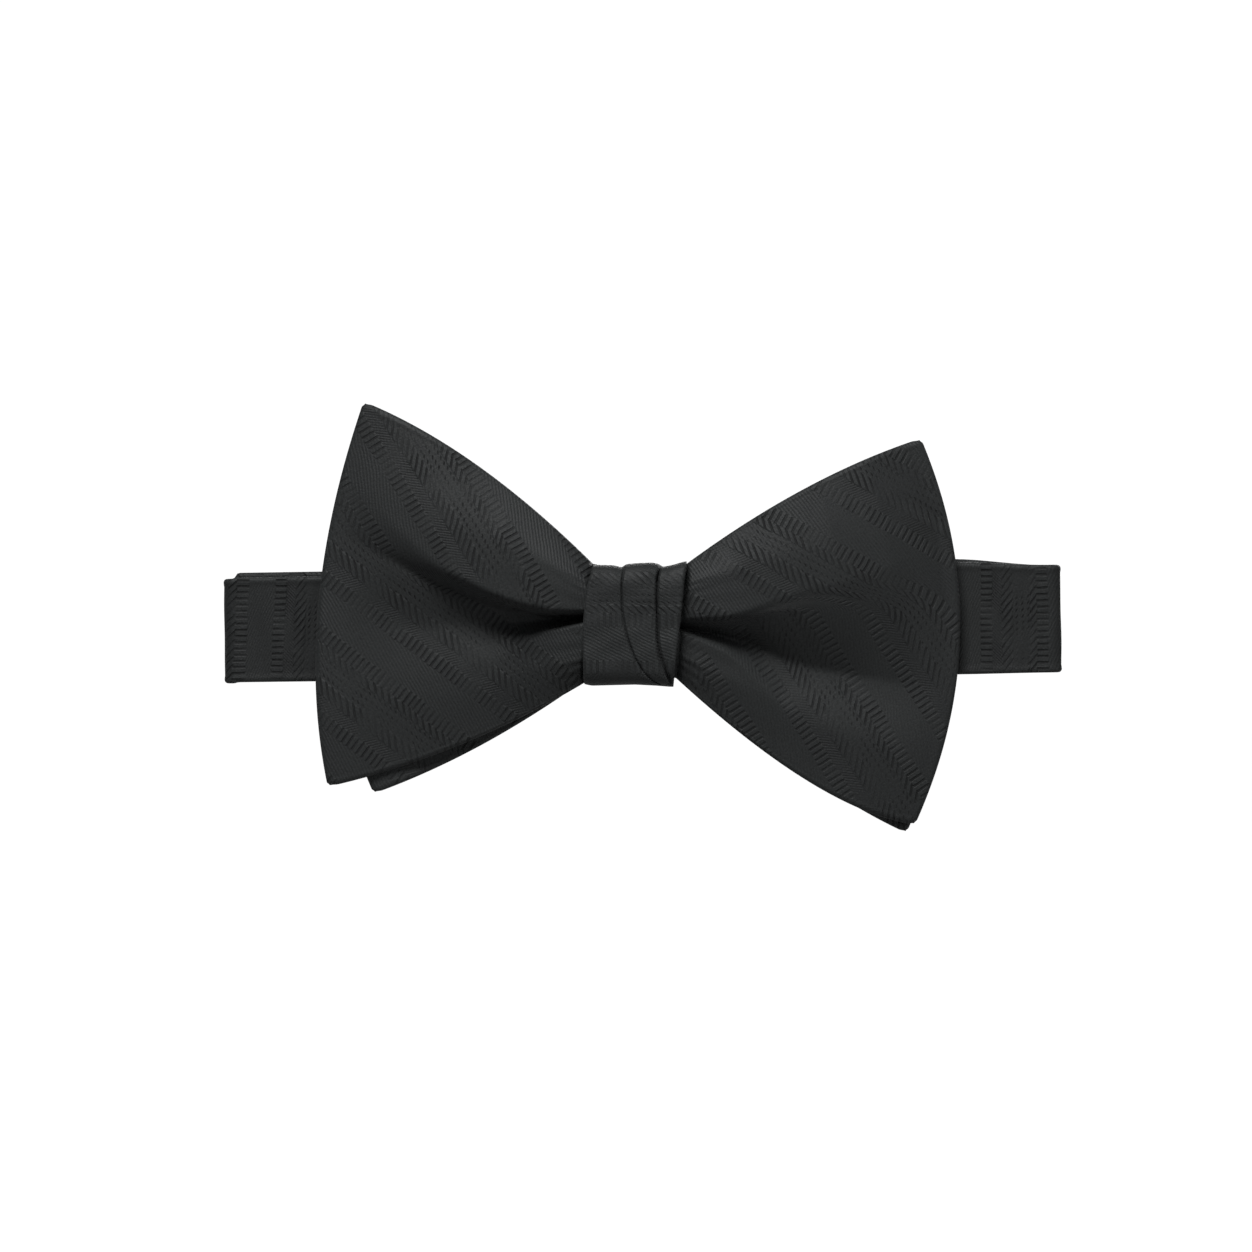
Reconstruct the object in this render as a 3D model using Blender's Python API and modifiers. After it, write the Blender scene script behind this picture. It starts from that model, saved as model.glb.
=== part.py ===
"""A pre-tied butterfly bow tie on an adjustable neckband, with the band folded flat behind the bow.

Metres, +Z up. The front faces -Y, and +X is to the right of someone looking at the front. The origin
is the middle of the knot, on the rear face of the neckband's front run. The neckband leans a little,
so its pieces are placed in a tilted frame of their own.
"""

import math

import bmesh
import bpy
from mathutils import Matrix, Vector

# Neckband. Its layers lie one band thickness apart: level 0 is the front run, 1 the rear runs and
# 2 the returns.
BAND_HEIGHT = 0.0196
BAND_THICK = 0.0015
BAND_TILT = math.radians(0.8)
LEFT_END_X = -0.0759
RIGHT_END_X = 0.0785
LEFT_REAR_RISE = 0.0009  # the left rear run sits this much higher than the front run
SLEEVE_WALL = 0.00035
BAND_LINING_THICK = 0.0003
BAND_LINING_MARGIN = 0.0009
TURN_INNER = BAND_THICK / 2
TURN_OUTER = BAND_THICK * 1.5
EDGE_ROUND = 0.0004
GAP = 0.0003  # what neighbours keep between them
SHARP_ANGLE = math.radians(35)  # edges sharper than this stay sharp in the shading

# Clasp and size slider
CLASP_BAR_X = 0.020  # both clasp bars are this far from the middle
HEM_LENGTH = 0.012
WIRE_RADIUS = 0.00045
WIRE_HALF_SPAN = BAND_HEIGHT / 2 + 0.0008  # the wires' side arms pass just outside the strap's edges
EYE_DEPTH = 0.0078
WIRE_BEND = 0.0012  # the radius of the wires' bends
BEND_CUT = 0.3  # a bend's middle point is this share of the radius in from the square corner
HOOK_SHOULDER = 0.0030  # from the hook's bar to its shoulders, clear of the turn
HOOK_REACH = 0.0080
HOOK_THROAT = 0.0022
HOOK_RETURN = 0.0034
HOOK_PIN_HALF = 0.0016
SLIDER_X = 0.035
SLIDER_HALF_LENGTH = 0.0065
SLIDER_RAIL = 0.0015
SLIDER_PLATE = 0.0009
SLIDER_END_BAR = 0.0016
SLIDER_BAR_HALF = 0.0005
LOOP_WALL = 0.00075
FIRM_STRAP_LENGTH = 0.0105  # what never feeds through the slider, next to the right fold
THREAD_RADIUS = 0.0002
STITCH_COUNT = 15

# Knot
KNOT_HALF_HEIGHT = 0.01145
KNOT_FRONT_Y = -0.0150
KNOT_SIDE_Y = -0.0040  # where the knot's rounded front turns into its flat top and bottom
KNOT_BACK_Y = 0.0012
KNOT_CORNER = 0.0010
KNOT_WALL = 0.0009
KNOT_BULGE_POWER = 0.75  # below 1 squares off the knot's front
KNOT_HEIGHT_POWER = 0.85
KNOT_LEFT = (-0.0095, 0.0773, 8.68)  # x of the left edge as a polynomial in z
KNOT_RIGHT = (0.00825, 0.1045, 0.0)
# Each pleat is (share of the knot's width, how far the cloth stands proud there).
KNOT_PLEATS = (
    (0.0, 0.0), (0.07, 0.0004), (0.22, 0.0006), (0.39, 0.0005), (0.45, 0.0002), (0.58, 0.0005),
    (0.72, 0.0006), (0.79, 0.0001), (0.90, 0.0003), (1.0, 0.0),
)  # fmt: skip
PADDING_HALF_HEIGHT = 0.0052
PADDING_HALF_WIDTH = 0.0066
PADDING_THICK = 0.0007

# Bow. A wing's outline is four corners, with a bend point that bows each edge but the inner one.
WING_THICK = {"front": 0.0024, "rear": 0.0019}
WING_SETBACK = {"front": 0.0, "rear": 0.0029}
WING_WALL = 0.00035
WING_LINING_THICK = 0.0003
WING_EDGE_SHARE = 0.7  # a wing's rolled edges are this share of its thickness
LINING_INSET = 0.1  # how far an interlining stays inside its wing, as a share of the wing
VALLEY_Y = {"knot": -0.0080, "edge": -0.0070}
LOBE_DEPTH = {"knot": 0.0036, "edge": 0.0004}
GATHER_POWER = 1.6
WING_COLUMNS = 9
WING_ROWS = 11
OUTLINES = {
    ("front", "left"): {
        "inner": ((-0.01005, -0.0110), (-0.01005, 0.0128)),
        "outer": ((-0.0551, -0.0295), (-0.0652, 0.0040), (-0.0492, 0.0406)),
        "top_bend": (-0.0296, 0.0319),
        "bottom_bend": (-0.0326, -0.0239),
    },
    ("front", "right"): {
        "inner": ((0.00985, -0.0114), (0.00985, 0.0114)),
        "outer": ((0.0509, -0.0373), (0.0695, -0.0014), (0.0533, 0.0332)),
        "top_bend": (0.0316, 0.0267),
        "bottom_bend": (0.0304, -0.0302),
    },
    ("rear", "left"): {
        "inner": ((-0.01005, -0.0114), (-0.01005, 0.0122)),
        "outer": ((-0.0477, -0.0304), (-0.0630, 0.0020), (-0.0470, 0.0385)),
        "top_bend": (-0.0290, 0.0300),
        "bottom_bend": (-0.0290, -0.0238),
    },
    ("rear", "right"): {
        "inner": ((0.00985, -0.0118), (0.00985, 0.0112)),
        "outer": ((0.0499, -0.0381), (0.0672, -0.0010), (0.0521, 0.0338)),
        "top_bend": (0.0308, 0.0270),
        "bottom_bend": (0.0298, -0.0308),
    },
}
WING_PIVOT = {"left": (-0.01005, -0.0120), "right": (0.00985, -0.0120)}
CENTRE_HALF_LENGTH = (0.0097, 0.0095)  # towards the left wing and towards the right wing
CENTRE_HALF_HEIGHT = {"end": 0.0100, "waist": 0.0076}
CENTRE_COLUMNS = 7
BINDING_TURNS = 3
BINDING_RADIUS = 0.00025
BINDING_PITCH = 0.0008
BINDING_STEPS = 16  # points in a turn of the binding thread
BINDING_POWER = 0.4  # below 1 flattens the turns against the gathered bows
BINDING_Y = (-0.0121, -0.0023)
BINDING_HALF_HEIGHT = 0.0092

SATIN = ("black_satin", (0.022, 0.024, 0.024), 0.5, 0.0)
LINING = ("interlining", (0.30, 0.29, 0.27), 0.9, 0.0)
THREAD = ("black_thread", (0.015, 0.015, 0.016), 0.6, 0.0)
METAL = ("blackened_steel", (0.12, 0.12, 0.13), 0.35, 1.0)


def start_scene():
    """Clears the scene and returns the collections for the tie and for its cutters."""
    for obj in list(bpy.data.objects):
        bpy.data.objects.remove(obj, do_unlink=True)
    made = []
    for name in ("bow_tie", "cutters"):
        made.append(bpy.data.collections.new(name))
        bpy.context.scene.collection.children.link(made[-1])
    return made


TIE, CUTTERS = start_scene()


def material(name, colour, roughness, metallic):
    """The named material, made on first use."""
    found = bpy.data.materials.get(name)
    if found:
        return found
    made = bpy.data.materials.new(name)
    made.use_nodes = True
    shader = made.node_tree.nodes["Principled BSDF"]
    shader.inputs["Base Color"].default_value = (*colour, 1.0)
    shader.inputs["Roughness"].default_value = roughness
    shader.inputs["Metallic"].default_value = metallic
    return made


def add_object(name, data, finish):
    obj = bpy.data.objects.new(name, data)
    if finish:
        obj.data.materials.append(material(*finish))
    TIE.objects.link(obj)
    return obj


def add_pivot(name, location, parent=None):
    """An empty on a joint's axis, in its parent's frame."""
    pivot = bpy.data.objects.new(name, None)
    pivot.location = location
    pivot.parent = parent
    TIE.objects.link(pivot)
    return pivot


def attach(obj, pivot):
    """Hangs an object, made in the pivot's own parent frame, on that pivot."""
    obj.data.transform(Matrix.Translation(-pivot.location))
    obj.parent = pivot
    return obj


def mesh_object(name, bm, finish):
    bmesh.ops.recalc_face_normals(bm, faces=bm.faces)
    mesh = bpy.data.meshes.new(name)
    bm.to_mesh(mesh)
    bm.free()
    obj = add_object(name, mesh, finish)
    mesh.shade_smooth()
    mesh.set_sharp_from_angle(angle=SHARP_ANGLE)
    return obj


def box_mesh(low, high):
    bm = bmesh.new()
    size = Vector(high) - Vector(low)
    middle = (Vector(high) + Vector(low)) / 2
    bmesh.ops.create_cube(bm, size=1.0, matrix=Matrix.Translation(middle) @ Matrix.Diagonal((*size, 1.0)))
    return bm


def add_shell(obj, wall):
    """Gives an open surface a wall on its inner side."""
    shell = obj.modifiers.new("shell", "SOLIDIFY")
    shell.thickness = wall
    shell.offset = -1.0
    shell.use_even_offset = True
    return obj


def loft(name, rings, capped, finish):
    """Joins rings of equal length. A capped ring is closed across, from its front half to its back half."""
    bm = bmesh.new()
    loops = [[bm.verts.new(point) for point in ring] for ring in rings]
    for near, far in zip(loops, loops[1:]):
        for i in range(len(near)):
            j = (i + 1) % len(near)
            bm.faces.new((near[i], near[j], far[j], far[i]))
    for index in capped:
        loop = loops[index]
        for i in range(len(loop) // 2 - 1):
            bm.faces.new((loop[i], loop[i + 1], loop[-2 - i], loop[-1 - i]))
    return mesh_object(name, bm, finish)


def plate(name, outline, height, rise, finish):
    """A closed outline in x and y, extruded along z about the height rise."""
    curve = bpy.data.curves.new(name, "CURVE")
    curve.dimensions = "2D"
    curve.fill_mode = "BOTH"
    curve.extrude = height / 2
    spline = curve.splines.new("POLY")
    spline.points.add(len(outline) - 1)
    for point, (x, y) in zip(spline.points, outline):
        point.co = (x, y, 0.0, 1.0)
    spline.use_cyclic_u = True
    obj = add_object(name, curve, finish)
    obj.data.transform(Matrix.Translation((0.0, 0.0, rise)))
    return obj


def wire(name, points, radius, cyclic, finish):
    curve = bpy.data.curves.new(name, "CURVE")
    curve.dimensions = "3D"
    curve.bevel_depth = radius
    curve.bevel_resolution = 2
    curve.use_fill_caps = not cyclic
    spline = curve.splines.new("POLY")
    spline.points.add(len(points) - 1)
    for point, place in zip(spline.points, points):
        point.co = (*place, 1.0)
    spline.use_cyclic_u = cyclic
    return add_object(name, curve, finish)


def arc(centre, radius, first, last, steps):
    """Points on an arc from angle first to angle last, in degrees, ends included."""
    turned = [math.radians(first + (last - first) * i / steps) for i in range(steps + 1)]
    return [(centre[0] + radius * math.cos(a), centre[1] + radius * math.sin(a)) for a in turned]


# --- neckband


def level_span(level):
    """The front and rear y of a layer of the band."""
    return (2 * level - 1) * BAND_THICK, 2 * level * BAND_THICK


def strip(name, ends, level, rise):
    """One flat layer of the band between two x values."""
    front, rear = level_span(level)
    half = BAND_HEIGHT / 2
    bm = box_mesh((min(ends), front, rise - half), (max(ends), rear, rise + half))
    obj = mesh_object(name, bm, SATIN)
    edges = obj.modifiers.new("soft_edges", "BEVEL")
    edges.width = EDGE_ROUND
    edges.segments = 2
    return obj


def turn_y(level):
    """The y of the middle of the turn from a layer to the next one behind it."""
    return (2 * level + 0.5) * BAND_THICK


def turn(name, x, level, side, rise):
    """The half-round fold from a layer to the next one, bulging to +X or -X."""
    centre = (0.0, turn_y(level))
    outline = arc(centre, TURN_OUTER, -90, 90, 12) + arc(centre, TURN_INNER, 90, -90, 8)
    if side < 0:
        outline.reverse()
    return plate(name, [(x + side * px, py) for px, py in outline], BAND_HEIGHT, rise, SATIN)


def zigzag(x, y, half_height, swing, along_y):
    """The points of a row of stitches down the strap, swinging along y or along x."""
    points = []
    for i in range(STITCH_COUNT):
        z = half_height * (1 - 2 * i / (STITCH_COUNT - 1))
        side = swing if i % 2 else -swing
        points.append((x, y + side, z) if along_y else (x + side, y, z))
    return points


def build_front_run(frame):
    left = LEFT_END_X + TURN_OUTER
    right = RIGHT_END_X - TURN_OUTER
    half = BAND_HEIGHT / 2
    front, rear = level_span(0)
    bm = box_mesh((left + GAP, front, -half), (right - GAP, rear, half))
    ends = [face for face in bm.faces if len({round(v.co.x, 5) for v in face.verts}) == 1]
    bmesh.ops.delete(bm, geom=ends, context="FACES_ONLY")
    run = add_shell(mesh_object("band_front", bm, SATIN), SLEEVE_WALL)
    run.parent = frame
    lining_half = half - BAND_LINING_MARGIN
    middle = (front + rear) / 2
    low = (left + 2 * GAP, middle - BAND_LINING_THICK / 2, -lining_half)
    high = (right - 2 * GAP, middle + BAND_LINING_THICK / 2, lining_half)
    mesh_object("band_interlining", box_mesh(low, high), LINING).parent = frame
    turn("band_fold_left", left, 0, -1, LEFT_REAR_RISE / 2).parent = frame
    turn("band_fold_right", right, 0, 1, 0.0).parent = frame


def hook_points(bar_x, bar_y):
    """A wire bent into a wide bar in the strap's turn, and a narrow pin that doubles back as the hook."""
    tip = HOOK_REACH - HOOK_THROAT / 2
    side = [
        (0.0, 0.0, WIRE_HALF_SPAN - WIRE_BEND),
        (WIRE_BEND * BEND_CUT, 0.0, WIRE_HALF_SPAN - WIRE_BEND * BEND_CUT),
        (WIRE_BEND, 0.0, WIRE_HALF_SPAN),
        (HOOK_SHOULDER - WIRE_BEND * 0.5, 0.0, WIRE_HALF_SPAN - WIRE_BEND * 0.2),
        (HOOK_SHOULDER, 0.0, WIRE_HALF_SPAN - WIRE_BEND),
        (HOOK_SHOULDER, 0.0, HOOK_PIN_HALF + WIRE_BEND),
        (HOOK_SHOULDER + WIRE_BEND * BEND_CUT, 0.0, HOOK_PIN_HALF + WIRE_BEND * BEND_CUT),
        (HOOK_SHOULDER + WIRE_BEND, 0.0, HOOK_PIN_HALF),
    ]
    for x, y in arc((tip, HOOK_THROAT / 2), HOOK_THROAT / 2, -90, 90, 6):
        side.append((x, y, HOOK_PIN_HALF))
    end = tip - HOOK_RETURN
    side.append((end + WIRE_BEND, HOOK_THROAT, HOOK_PIN_HALF))
    side.append((end + WIRE_BEND * BEND_CUT, HOOK_THROAT, HOOK_PIN_HALF * 0.7))
    side.append((end, HOOK_THROAT, HOOK_PIN_HALF * 0.25))
    whole = side + [(x, y, -z) for x, y, z in reversed(side)]
    return [(bar_x + x, bar_y + y, z) for x, y, z in whole]


def eye_points(bar_x, bar_y):
    """A rectangular ring with round corners, from its bar inwards."""
    low = (bar_x - EYE_DEPTH + WIRE_BEND, bar_x - WIRE_BEND)
    half = WIRE_HALF_SPAN - WIRE_BEND
    flat = (
        arc((low[1], half), WIRE_BEND, 0, 90, 4)
        + arc((low[0], half), WIRE_BEND, 90, 180, 4)
        + arc((low[0], -half), WIRE_BEND, 180, 270, 4)
        + arc((low[1], -half), WIRE_BEND, 270, 360, 4)
    )
    return [(x, bar_y, z) for x, z in flat]


def build_left_strap(frame):
    pivot = add_pivot("left_strap_hinge", (LEFT_END_X + TURN_OUTER, turn_y(0), LEFT_REAR_RISE), frame)
    bar_x = -CLASP_BAR_X
    rise = LEFT_REAR_RISE
    start = LEFT_END_X + TURN_OUTER + GAP
    hem_end = bar_x - GAP - HEM_LENGTH
    attach(strip("strap_left", (start, bar_x - GAP), 1, rise), pivot)
    attach(turn("strap_left_turn", bar_x, 1, 1, rise), pivot)
    attach(strip("strap_left_hem", (hem_end, bar_x - GAP), 2, rise), pivot)
    middle = 3 * BAND_THICK - TURN_INNER / 2 + THREAD_RADIUS
    stitches = zigzag(hem_end - 2 * GAP, middle, BAND_HEIGHT / 2 - GAP, TURN_INNER, True)
    raised = [(x, y, z + rise) for x, y, z in stitches]
    attach(wire("hem_stitches", raised, THREAD_RADIUS, False, THREAD), pivot)
    swing = add_pivot("hook_hinge", Vector((bar_x, turn_y(1), rise)) - pivot.location, pivot)
    points = [Vector((x, y, z + rise)) - pivot.location for x, y, z in hook_points(bar_x, turn_y(1))]
    attach(wire("hook", points, WIRE_RADIUS, True, METAL), swing)


def cut(obj, name, low, high):
    cutter = mesh_object(name, box_mesh(low, high), None)
    TIE.objects.unlink(cutter)
    CUTTERS.objects.link(cutter)
    cutter.hide_render = True
    cutter.display_type = "WIRE"
    cutter.parent = obj.parent
    cutter.data.transform(Matrix.Translation(-obj.parent.location))
    boolean = obj.modifiers.new(name, "BOOLEAN")
    boolean.object = cutter
    boolean.solver = "EXACT"


def build_slider(pivot):
    """End bars before the strap and a centre bar behind it, joined by a rail past each of its edges."""
    bar_y = level_span(2)[0] + BAND_THICK / 2
    slot = WIRE_HALF_SPAN - WIRE_RADIUS
    front = GAP
    plate_rear = front + SLIDER_PLATE
    rear = bar_y + SLIDER_BAR_HALF
    shoulder = SLIDER_BAR_HALF * 2
    outline = [
        (SLIDER_X - SLIDER_HALF_LENGTH, front),
        (SLIDER_X + SLIDER_HALF_LENGTH, front),
        (SLIDER_X + SLIDER_HALF_LENGTH, plate_rear),
        (SLIDER_X + shoulder, rear),
        (SLIDER_X - shoulder, rear),
        (SLIDER_X - SLIDER_HALF_LENGTH, plate_rear),
    ]
    curve = plate("slider_outline", outline, 2 * (slot + SLIDER_RAIL), 0.0, METAL)
    bm = bmesh.new()
    evaluated = curve.evaluated_get(bpy.context.evaluated_depsgraph_get())
    bm.from_mesh(bpy.data.meshes.new_from_object(evaluated))
    bmesh.ops.remove_doubles(bm, verts=bm.verts, dist=1e-6)
    bpy.data.objects.remove(curve)
    slider = attach(mesh_object("slider", bm, METAL), pivot)
    window = SLIDER_HALF_LENGTH - SLIDER_END_BAR
    past = SLIDER_HALF_LENGTH + GAP
    behind = rear + GAP
    bar_front = bar_y - SLIDER_BAR_HALF
    for name, x_span, y_span in (
        ("window", (-window, window), (-GAP, plate_rear + GAP)),
        ("channel", (-past, past), (plate_rear, bar_front)),
        ("left_of_bar", (-past, -SLIDER_BAR_HALF), (bar_front - GAP, behind)),
        ("right_of_bar", (SLIDER_BAR_HALF, past), (bar_front - GAP, behind)),
    ):
        low = (SLIDER_X + x_span[0], y_span[0], -slot)
        high = (SLIDER_X + x_span[1], y_span[1], slot)
        cut(slider, name, low, high)
    return bar_y


def build_end_loop(pivot, bar_y):
    """The strap's end, sewn round the slider's centre bar."""
    hole = SLIDER_BAR_HALF * math.sqrt(2) + GAP
    radius = hole + LOOP_WALL
    tail = SLIDER_X - radius * 2
    half = BAND_THICK / 2
    meet = math.degrees(math.asin(half / radius))
    outline = arc((SLIDER_X, bar_y), radius, meet - 180, 180 - meet, 18)
    outline += [(tail, bar_y + half), (tail, bar_y - half)]
    loop = plate("strap_end_loop", outline, BAND_HEIGHT, 0.0, SATIN)
    ring = loop.data.splines.new("POLY")
    inner = arc((SLIDER_X, bar_y), hole, 0, 330, 11)
    ring.points.add(len(inner) - 1)
    for point, (x, y) in zip(ring.points, inner):
        point.co = (x, y, 0.0, 1.0)
    ring.use_cyclic_u = True
    attach(loop, pivot)
    rear = level_span(2)[1] + GAP + THREAD_RADIUS
    row = zigzag(tail, rear, BAND_HEIGHT / 2 - 2 * GAP, TURN_INNER, False)
    attach(wire("end_loop_stitches", row, THREAD_RADIUS, False, THREAD), pivot)
    return tail


def build_right_strap(frame):
    fold_x = RIGHT_END_X - TURN_OUTER
    hinge = add_pivot("right_strap_hinge", (fold_x, turn_y(0), 0.0), frame)
    firm_end = fold_x - GAP - FIRM_STRAP_LENGTH
    attach(strip("strap_right", (firm_end, fold_x - GAP), 1, 0.0), hinge)
    attach(strip("strap_right_run", (CLASP_BAR_X + GAP, firm_end - GAP), 1, 0.0), hinge)
    slide = add_pivot("eye_slide", (CLASP_BAR_X, turn_y(1), 0.0), frame)
    attach(turn("strap_right_turn", CLASP_BAR_X, 1, -1, 0.0), slide)
    attach(wire("eye", eye_points(CLASP_BAR_X, turn_y(1)), WIRE_RADIUS, True, METAL), slide)
    size = add_pivot("slider_slide", (SLIDER_X, turn_y(1), 0.0), frame)
    bar_y = build_slider(size)
    tail = build_end_loop(size, bar_y)
    attach(strip("strap_return", (CLASP_BAR_X + GAP, tail - GAP), 2, 0.0), slide)


# --- bow


def bow_edge(points, t):
    """A point on the quadratic curve through two ends, pulled towards a bend point."""
    first, bend, last = (Vector(point) for point in points)
    return first * (1 - t) ** 2 + bend * 2 * t * (1 - t) + last * t**2


def wing_place(outline, u, w):
    """x and z at the share u from the knot to the outer edge and w from the bottom, -1, to the top, 1."""
    inner = [Vector(point) for point in outline["inner"]]
    outer = outline["outer"]
    v = (w + 1) / 2
    bottom = bow_edge((inner[0], outline["bottom_bend"], outer[0]), u)
    top = bow_edge((inner[1], outline["top_bend"], outer[2]), u)
    near = inner[0].lerp(inner[1], v)
    far = bow_edge(outer, v)
    corners = inner[0].lerp(Vector(outer[0]), u).lerp(inner[1].lerp(Vector(outer[2]), u), v)
    return bottom.lerp(top, v) + near.lerp(far, u) - corners


def wing_front_y(u, w):
    """Two lobes with a valley between them, deep at the knot and almost flat at the outer edge."""
    gather = (1 - u) ** GATHER_POWER
    valley = VALLEY_Y["knot"] * gather + VALLEY_Y["edge"] * (1 - gather)
    depth = LOBE_DEPTH["knot"] * gather + LOBE_DEPTH["edge"] * (1 - gather)
    return valley - depth * (1 - math.cos(2 * math.pi * w)) / 2


def wing_rings(outline, layer, thick, inset, edge_share):
    """Rings from the knot outwards. Each goes up the wing's front and down its back."""
    rings = []
    middle = WING_SETBACK[layer] + WING_THICK[layer] / 2
    for column in range(WING_COLUMNS):
        u = inset + (1 - 2 * inset) * column / (WING_COLUMNS - 1)
        front, back = [], []
        for row in range(WING_ROWS):
            w = (1 - 2 * inset) * (2 * row / (WING_ROWS - 1) - 1)
            place = wing_place(outline, u, w)
            on_edge = row in (0, WING_ROWS - 1) or column == WING_COLUMNS - 1
            half = thick / 2 * (edge_share if on_edge else 1.0)
            y = wing_front_y(u, w) + middle
            front.append((place.x, y - half, place.y))
            back.append((place.x, y + half, place.y))
        rings.append(front + back[::-1])
    return rings


def build_wings():
    for side in ("left", "right"):
        x, y = WING_PIVOT[side]
        pivot = add_pivot(f"{side}_wing_hinge", (x, y, 0.0))
        for layer in ("front", "rear"):
            outline = OUTLINES[layer, side]
            name = f"{layer}_wing_{side}"
            cover = wing_rings(outline, layer, WING_THICK[layer], 0.0, WING_EDGE_SHARE)
            add_shell(attach(loft(name, cover, (-1,), SATIN), pivot), WING_WALL)
            lining = wing_rings(outline, layer, WING_LINING_THICK, LINING_INSET, 1.0)
            attach(loft(f"{name}_interlining", lining, (0, -1), LINING), pivot)


def build_bow_centre(layer):
    """The gathered middle of a bow, waisted where the binding thread holds it."""
    rings = []
    for column in range(CENTRE_COLUMNS):
        share = 2 * column / (CENTRE_COLUMNS - 1) - 1
        x = share * CENTRE_HALF_LENGTH[share > 0]
        waist, end = CENTRE_HALF_HEIGHT["waist"], CENTRE_HALF_HEIGHT["end"]
        half = waist + (end - waist) * share**2
        front, back = [], []
        for row in range(WING_ROWS):
            w = 2 * row / (WING_ROWS - 1) - 1
            y = wing_front_y(0.0, w) + WING_SETBACK[layer]
            front.append((x, y, half * w))
            back.append((x, y + WING_THICK[layer], half * w))
        rings.append(front + back[::-1])
    loft(f"{layer}_bow_centre", rings, (0, -1), SATIN)


def build_binding():
    """Thread wound round both gathered middles, as a flattened helix."""
    middle = sum(BINDING_Y) / 2
    half_depth = (BINDING_Y[1] - BINDING_Y[0]) / 2
    points = []
    for i in range(BINDING_TURNS * BINDING_STEPS + 1):
        angle = 2 * math.pi * i / BINDING_STEPS
        x = BINDING_PITCH * (i / BINDING_STEPS - BINDING_TURNS / 2)
        c, s = math.cos(angle), math.sin(angle)
        y = middle + half_depth * math.copysign(abs(c) ** BINDING_POWER, c)
        z = BINDING_HALF_HEIGHT * math.copysign(abs(s) ** BINDING_POWER, s)
        points.append((x, y, z))
    wire("binding_thread", points, BINDING_RADIUS, False, THREAD)


# --- knot


def knot_section():
    """The knot's outer section in y and z, with how much each point belongs to the pleated front."""
    section = []
    for i in range(17):
        angle = math.radians(90 - 180 * i / 16)
        bulge = abs(math.cos(angle)) ** KNOT_BULGE_POWER
        height = math.copysign(abs(math.sin(angle)) ** KNOT_HEIGHT_POWER, math.sin(angle))
        y = KNOT_SIDE_Y + (KNOT_FRONT_Y - KNOT_SIDE_Y) * bulge
        section.append((y, KNOT_HALF_HEIGHT * height, bulge))
    inner_y = KNOT_BACK_Y - KNOT_CORNER
    inner_z = KNOT_HALF_HEIGHT - KNOT_CORNER
    for y, z in arc((inner_y, -inner_z), KNOT_CORNER, -90, 0, 3):
        section.append((y, z, 0.0))
    for y, z in arc((inner_y, inner_z), KNOT_CORNER, 0, 90, 3):
        section.append((y, z, 0.0))
    return section


def knot_edge_x(edge, z):
    return edge[0] + edge[1] * z + edge[2] * z**2


def build_knot():
    rings = []
    for share, proud in KNOT_PLEATS:
        ring = []
        for y, z, front in knot_section():
            x = knot_edge_x(KNOT_LEFT, z) * (1 - share) + knot_edge_x(KNOT_RIGHT, z) * share
            ring.append((x, y - proud * front, z))
        rings.append(ring)
    add_shell(loft("knot_wrap", rings, (), SATIN), KNOT_WALL)
    build_padding()


def build_padding():
    """A curved strip of wadding behind the pleats."""
    inner_front = [
        (y + KNOT_WALL + GAP, z)
        for y, z, _ in knot_section()
        if abs(z) < PADDING_HALF_HEIGHT and y < KNOT_SIDE_Y
    ]
    rings = []
    for x in (-PADDING_HALF_WIDTH, 0.0, PADDING_HALF_WIDTH):
        front = [(x, y, z) for y, z in inner_front]
        back = [(x, y + PADDING_THICK, z) for y, z in inner_front]
        rings.append(front + back[::-1])
    loft("knot_padding", rings, (0, -1), LINING)


def main():
    band_frame = add_pivot("band_frame", (0.0, 0.0, 0.0))
    band_frame.rotation_euler = (0.0, -BAND_TILT, 0.0)
    build_front_run(band_frame)
    build_left_strap(band_frame)
    build_right_strap(band_frame)
    build_wings()
    for layer in ("front", "rear"):
        build_bow_centre(layer)
    build_binding()
    build_knot()


main()
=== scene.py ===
"""The looks of the bow tie: striped satin wings, a pleated knot and a soft folded neckband.

Metres, in the frame of the CAD model: the front faces -Y and Z is up.
"""

import math

import bmesh
import bpy
import numpy as np
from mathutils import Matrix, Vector


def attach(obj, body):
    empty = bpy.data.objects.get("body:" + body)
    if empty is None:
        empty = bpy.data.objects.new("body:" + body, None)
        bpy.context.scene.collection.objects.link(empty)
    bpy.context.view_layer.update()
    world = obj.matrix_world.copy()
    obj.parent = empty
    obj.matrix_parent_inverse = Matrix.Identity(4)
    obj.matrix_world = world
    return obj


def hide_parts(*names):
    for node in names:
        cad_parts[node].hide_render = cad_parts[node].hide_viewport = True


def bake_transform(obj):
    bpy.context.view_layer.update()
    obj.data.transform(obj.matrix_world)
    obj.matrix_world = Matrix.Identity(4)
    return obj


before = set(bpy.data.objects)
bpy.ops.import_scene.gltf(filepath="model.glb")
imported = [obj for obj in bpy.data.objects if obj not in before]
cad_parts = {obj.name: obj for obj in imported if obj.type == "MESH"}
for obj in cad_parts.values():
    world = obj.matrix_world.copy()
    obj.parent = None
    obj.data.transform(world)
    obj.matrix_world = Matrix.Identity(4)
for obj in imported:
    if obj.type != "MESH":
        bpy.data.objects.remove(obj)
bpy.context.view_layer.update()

# Neckband, at the CAD model's places. A level is one layer of it, counted backwards from the front run.
BAND_HEIGHT = 0.0196
BAND_THICK = 0.0015
BAND_TILT = math.radians(0.8)
LEFT_TURN_X = -0.0762 + BAND_THICK * 1.5
RIGHT_TURN_X = 0.0790 - BAND_THICK * 1.5
LEFT_REAR_RISE = 0.0009
CLASP_BAR_X = 0.020
HEM_LENGTH = 0.0123
FIRM_END_X = 0.0655
SLIDER_X = 0.035
LOOP_BAR_Y = BAND_THICK * 3.5
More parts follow.
